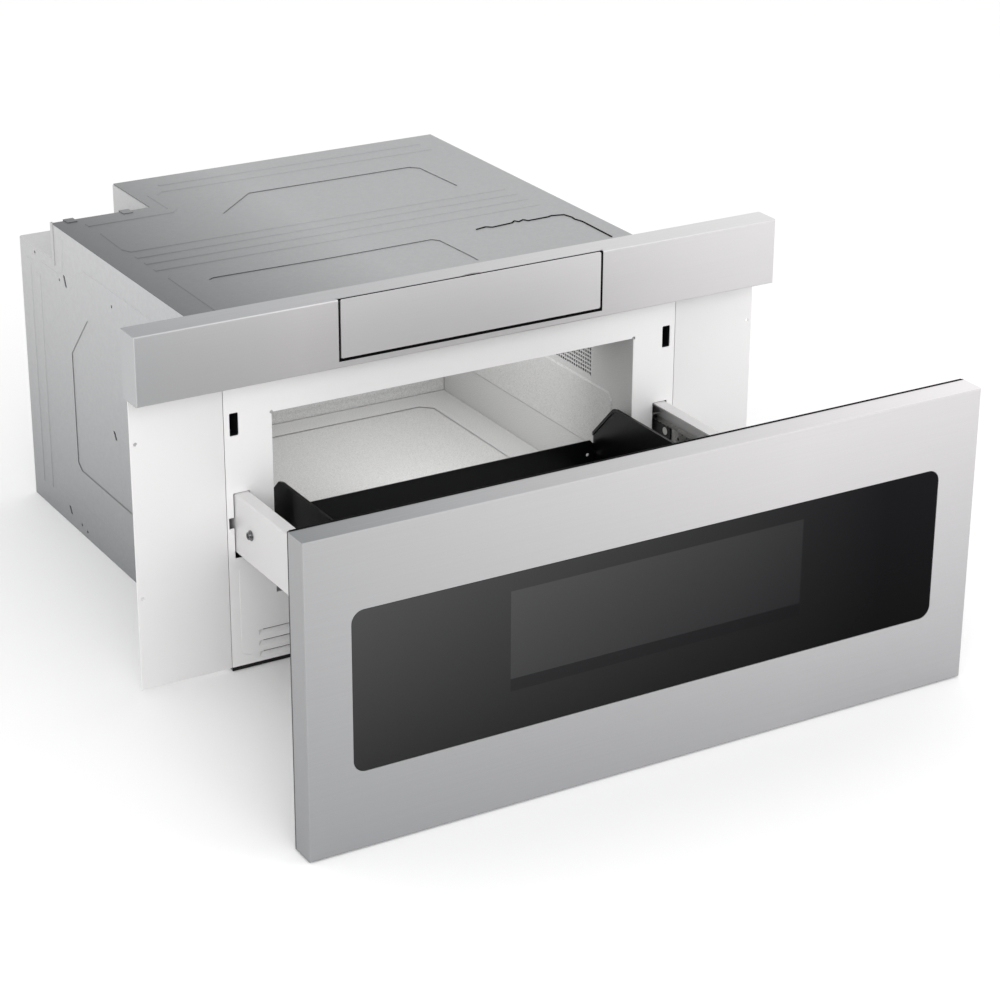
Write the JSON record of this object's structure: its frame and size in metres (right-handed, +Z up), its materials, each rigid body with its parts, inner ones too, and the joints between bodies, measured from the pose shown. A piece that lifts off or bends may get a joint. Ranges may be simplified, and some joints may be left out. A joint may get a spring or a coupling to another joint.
{
  "type": "microwave drawer",
  "caption": "Built-in microwave oven whose basket slides out like a drawer behind a stainless front, with a control bar and tilting flap above.",
  "frame": {"origin": "middle of the front edge of the casing's underside, where it rests", "axes": "+X to the right as one faces the front, +Y back into the cabinet, +Z up; the drawer is drawn fully out at rest"},
  "size_m": [0.762, 0.9455, 0.4025],
  "materials": {
    "stainless": "brushed stainless steel",
    "galvanised": "galvanised steel sheet",
    "white_enamel": "white enamelled steel",
    "cavity_enamel": "light grey speckled enamel",
    "black_enamel": "black enamelled steel",
    "zinc": "zinc plated steel",
    "arm_steel": "white painted steel",
    "black_plastic": "moulded black plastic",
    "white_plastic": "moulded white plastic",
    "foam": "black foam strip",
    "dark_glass": "dark tinted glass",
    "tray_glass": "white ceramic glass",
    "mica": "mica sheet",
    "motor_steel": "grey painted steel",
    "copper": "varnished copper winding",
    "board": "green circuit board",
    "aluminium": "plain aluminium"
  },
  "bodies": {
    "chassis": {"base_pan": "galvanised", "base_strip": "foam", "left_side_panel": "galvanised", "right_side_panel": "galvanised", "top_panel": "galvanised", "rear_panel": "galvanised", "rear_panel_screws": "zinc", "recess_cover": "galvanised", "cord_inlet_bushing": "black_plastic", "cover_clips": "zinc", "front_plate": "white_enamel", "left_flange": "white_enamel", "right_flange": "white_enamel", "cavity_liner": "cavity_enamel", "cavity_vent_screen": "cavity_enamel", "waveguide": "galvanised", "stirrer_cover": "mica", "stirrer_motor": "motor_steel", "cavity_lamp": "zinc", "magnetron": "aluminium", "cooling_fan_housing": "black_plastic", "fan_motor": "motor_steel", "magnetron_air_duct": "white_plastic", "hv_transformer": "copper", "hv_capacitor": "aluminium", "noise_filter_board": "board", "control_board": "board", "drive_gearmotor": "motor_steel", "rack_guide": "white_plastic", "left_fixed_rail": "zinc", "right_fixed_rail": "zinc", "interlock_housings": "black_plastic", "control_bar": "stainless", "control_bay": "black_plastic"},
    "drawer": {"drawer_front": "stainless", "drawer_glass": "dark_glass", "choke_box": "galvanised", "window_screen": "black_enamel", "drawer_inner_panel": "black_enamel", "choke_cover": "black_plastic", "basket": "black_enamel", "glass_tray": "tray_glass", "left_arm": "arm_steel", "right_arm": "arm_steel", "arm_screws": "zinc", "inner_rails": "zinc", "latch_hooks": "white_plastic", "drive_rack": "white_plastic"},
    "mid_rails": {"left_mid_rail": "zinc", "right_mid_rail": "zinc"},
    "outer_cages": {"outer_roller_cages": "black_plastic"},
    "inner_cages": {"inner_roller_cages": "black_plastic"},
    "pinion": {"drive_pinion": "white_plastic"},
    "flap": {"control_flap": "stainless", "keypad_glass": "dark_glass"},
    "fan": {"fan_impeller": "white_plastic"},
    "stirrer": {"stirrer_blade": "aluminium"},
    "left_plunger": {"left_interlock_plunger": "white_plastic"},
    "right_plunger": {"right_interlock_plunger": "white_plastic"}
  },
  "joints": [
    {"name": "drawer_slide", "type": "slide", "parent": "chassis", "child": "drawer", "axis": [0, -1, 0], "range_m": [-0.359, 0]},
    {"name": "mid_rail_slide", "type": "slide", "parent": "chassis", "child": "mid_rails", "axis": [0, -1, 0], "range_m": [-0.1795, 0]},
    {"name": "outer_cage_slide", "type": "slide", "parent": "chassis", "child": "outer_cages", "axis": [0, -1, 0], "range_m": [-0.08975, 0]},
    {"name": "inner_cage_slide", "type": "slide", "parent": "chassis", "child": "inner_cages", "axis": [0, -1, 0], "range_m": [-0.26925, 0]},
    {"name": "pinion_spin", "type": "hinge", "parent": "chassis", "child": "pinion", "pos_m": [0.15, 0.04, 0.028], "axis": [1, 0, 0], "range_deg": [-1143, 0]},
    {"name": "flap_tilt", "type": "hinge", "parent": "chassis", "child": "flap", "pos_m": [0, -0.028, 0.341], "axis": [1, 0, 0], "range_deg": [0, 45]},
    {"name": "fan_spin", "type": "hinge", "parent": "chassis", "child": "fan", "pos_m": [-0.109, 0.485, 0.233], "axis": [1, 0, 0], "continuous": true},
    {"name": "stirrer_spin", "type": "hinge", "parent": "chassis", "child": "stirrer", "pos_m": [0, 0.21, 0.3], "axis": [0, 0, 1], "continuous": true},
    {"name": "left_plunger_slide", "type": "slide", "parent": "chassis", "child": "left_plunger", "axis": [0, 1, 0], "range_m": [0, 0.003], "stiffness_N_per_m": 400, "springref_m": -0.001},
    {"name": "right_plunger_slide", "type": "slide", "parent": "chassis", "child": "right_plunger", "axis": [0, 1, 0], "range_m": [0, 0.003], "stiffness_N_per_m": 400, "springref_m": -0.001}
  ],
  "couplings": [
    {"joint": "mid_rail_slide", "follows": "drawer_slide", "ratio": 0.5},
    {"joint": "outer_cage_slide", "follows": "drawer_slide", "ratio": 0.25},
    {"joint": "inner_cage_slide", "follows": "drawer_slide", "ratio": 0.75},
    {"joint": "pinion_spin", "follows": "drawer_slide", "rad_per_m": 55.556}
  ]
}
